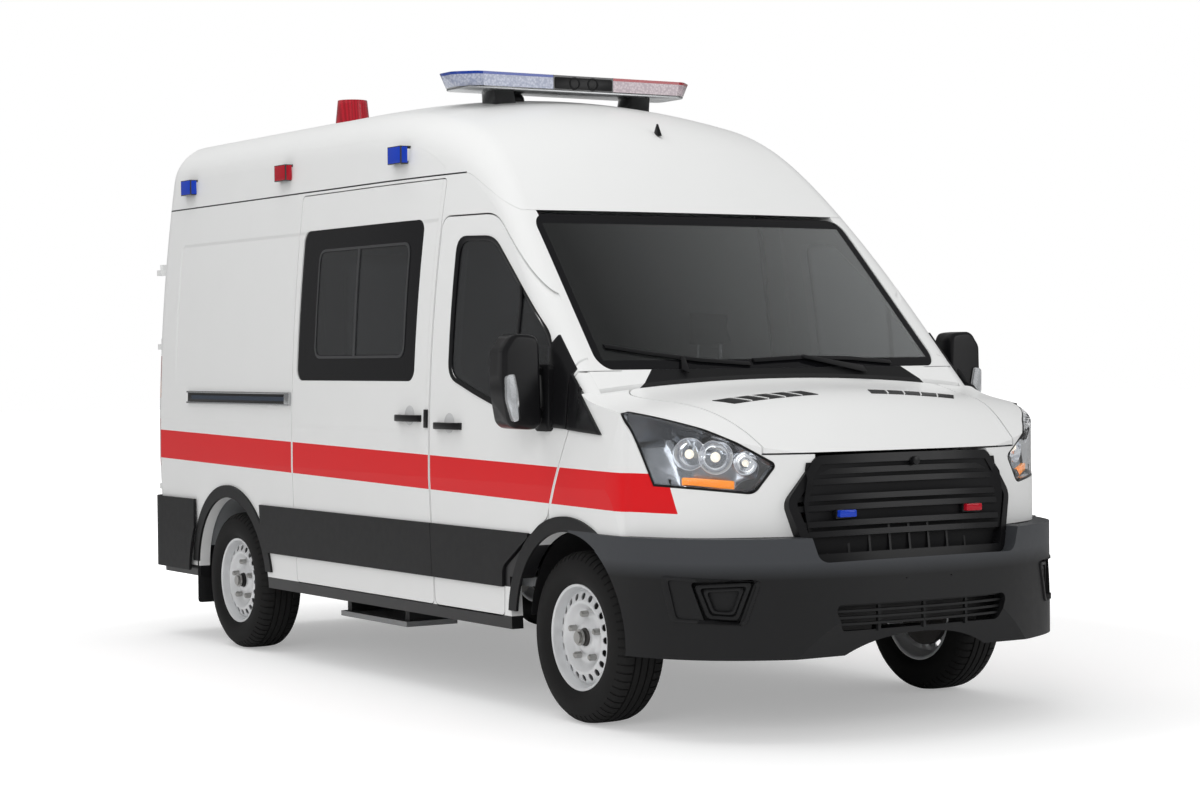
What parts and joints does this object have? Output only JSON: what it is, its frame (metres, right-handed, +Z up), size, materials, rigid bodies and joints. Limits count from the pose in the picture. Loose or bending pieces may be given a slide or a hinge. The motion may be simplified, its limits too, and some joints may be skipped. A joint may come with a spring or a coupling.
{
  "type": "ambulance",
  "caption": "High-roof panel-van ambulance with opening front and rear doors, bonnet, steered front wheels, roof light bar and a sliding side step.",
  "frame": {"origin": "centre of the bounding box at the ground under the tyres", "axes": "+Z up, +Y towards the rear doors, +X towards the vehicle's left side"},
  "size_m": [2.4732, 5.341, 2.8829],
  "materials": {
    "body_paint": "gloss white two-pack paint",
    "black_trim": "grained black",
    "glass": "tinted safety glass",
    "lamp_glass": "clear polycarbonate",
    "red_lens": "red lens",
    "signal_lens": "coloured lens",
    "frame_steel": "black chassis coating",
    "cast_iron": "as cast",
    "wheel_steel": "silver lacquer",
    "tyre": "vulcanised rubber",
    "floor_cover": "safety floor covering",
    "cab_plastic": "grained plastic",
    "seat_cloth": "woven seat cloth",
    "lining": "white laminate",
    "bare_metal": "mill finish"
  },
  "bodies": {
    "vehicle_body": {"arch_liners": "cab_plastic", "body_side_left": "body_paint", "body_side_right": "body_paint", "bulkhead": "lining", "cab_floor": "floor_cover", "cab_seats": "seat_cloth", "chassis_frame": "frame_steel", "dashboard": "cab_plastic", "engine": "cast_iron", "exhaust": "bare_metal", "floor": "floor_cover", "front_bumper": "black_trim", "front_subframe": "frame_steel", "front_wing_left": "body_paint", "front_wing_right": "body_paint", "fuel_tank": "cab_plastic", "grille": "black_trim", "headlamps": "lamp_glass", "light_bar": "signal_lens", "radiator": "cab_plastic", "rear_axle": "frame_steel", "rear_bumper": "black_trim", "roof": "body_paint", "roof_lamps": "signal_lens", "scuttle": "black_trim", "side_cladding": "black_trim", "side_windows": "glass", "sliding_door": "body_paint", "step_carrier": "frame_steel", "tail_lamps": "red_lens", "wheel_housings": "floor_cover", "windscreen": "glass"},
    "knuckle_left": {"knuckle_left": "cast_iron"},
    "knuckle_right": {"knuckle_right": "cast_iron"},
    "wheel_front_left": {"tyre_front_left": "tyre", "rim_front_left": "wheel_steel"},
    "wheel_front_right": {"tyre_front_right": "tyre", "rim_front_right": "wheel_steel"},
    "wheel_rear_left": {"tyre_rear_left": "tyre", "rim_rear_left": "wheel_steel"},
    "wheel_rear_right": {"tyre_rear_right": "tyre", "rim_rear_right": "wheel_steel"},
    "front_door_left": {"front_door_left": "body_paint", "front_door_glass_left": "glass", "front_door_cladding_left": "black_trim", "mirror_left": "black_trim"},
    "front_door_right": {"front_door_right": "body_paint", "front_door_glass_right": "glass", "front_door_cladding_right": "black_trim", "mirror_right": "black_trim"},
    "rear_door_left": {"rear_door_left": "body_paint", "rear_door_glass_left": "glass"},
    "rear_door_right": {"rear_door_right": "body_paint", "rear_door_glass_right": "glass"},
    "bonnet": {"bonnet": "body_paint"},
    "steering_wheel": {"steering_wheel": "cab_plastic"},
    "side_step": {"side_step": "bare_metal"}
  },
  "joints": [
    {"name": "steer_left", "type": "hinge", "parent": "vehicle_body", "child": "knuckle_left", "pos_m": [0.8, -1.6475, 0.346], "axis": [0, 0, 1], "range_deg": [-35, 35]},
    {"name": "steer_right", "type": "hinge", "parent": "vehicle_body", "child": "knuckle_right", "pos_m": [-0.8, -1.6475, 0.346], "axis": [0, 0, 1], "range_deg": [-35, 35]},
    {"name": "steering_wheel_turn", "type": "hinge", "parent": "vehicle_body", "child": "steering_wheel", "pos_m": [0.42, -1.1355, 1.18], "axis": [0, 0.788, 0.6157], "range_deg": [-560, 560]},
    {"name": "spin_front_left", "type": "hinge", "parent": "knuckle_left", "child": "wheel_front_left", "pos_m": [0.866, -1.6475, 0.346], "axis": [1, 0, 0], "continuous": true},
    {"name": "spin_front_right", "type": "hinge", "parent": "knuckle_right", "child": "wheel_front_right", "pos_m": [-0.866, -1.6475, 0.346], "axis": [1, 0, 0], "continuous": true},
    {"name": "spin_rear_left", "type": "hinge", "parent": "vehicle_body", "child": "wheel_rear_left", "pos_m": [0.8715, 1.6525, 0.346], "axis": [1, 0, 0], "continuous": true},
    {"name": "spin_rear_right", "type": "hinge", "parent": "vehicle_body", "child": "wheel_rear_right", "pos_m": [-0.8715, 1.6525, 0.346], "axis": [1, 0, 0], "continuous": true},
    {"name": "front_door_left_hinge", "type": "hinge", "parent": "vehicle_body", "child": "front_door_left", "pos_m": [1.025, -1.6645, 1.1], "axis": [0, 0, -1], "range_deg": [0, 70]},
    {"name": "front_door_right_hinge", "type": "hinge", "parent": "vehicle_body", "child": "front_door_right", "pos_m": [-1.025, -1.6645, 1.1], "axis": [0, 0, 1], "range_deg": [0, 70]},
    {"name": "rear_door_left_hinge", "type": "hinge", "parent": "vehicle_body", "child": "rear_door_left", "pos_m": [0.945, 2.6625, 1.5], "axis": [0, 0, -1], "range_deg": [0, 180]},
    {"name": "rear_door_right_hinge", "type": "hinge", "parent": "vehicle_body", "child": "rear_door_right", "pos_m": [-0.945, 2.6625, 1.5], "axis": [0, 0, 1], "range_deg": [0, 180]},
    {"name": "bonnet_hinge", "type": "hinge", "parent": "vehicle_body", "child": "bonnet", "pos_m": [0, -1.7615, 1.385], "axis": [-1, 0, 0], "range_deg": [0, 60]},
    {"name": "side_step_slide", "type": "slide", "parent": "vehicle_body", "child": "side_step", "axis": [-1, 0, 0], "range_m": [0, 0.2]}
  ],
  "couplings": [
    {"joint": "steer_right", "follows": "steer_left", "ratio": 1},
    {"joint": "steering_wheel_turn", "follows": "steer_left", "ratio": 16}
  ]
}
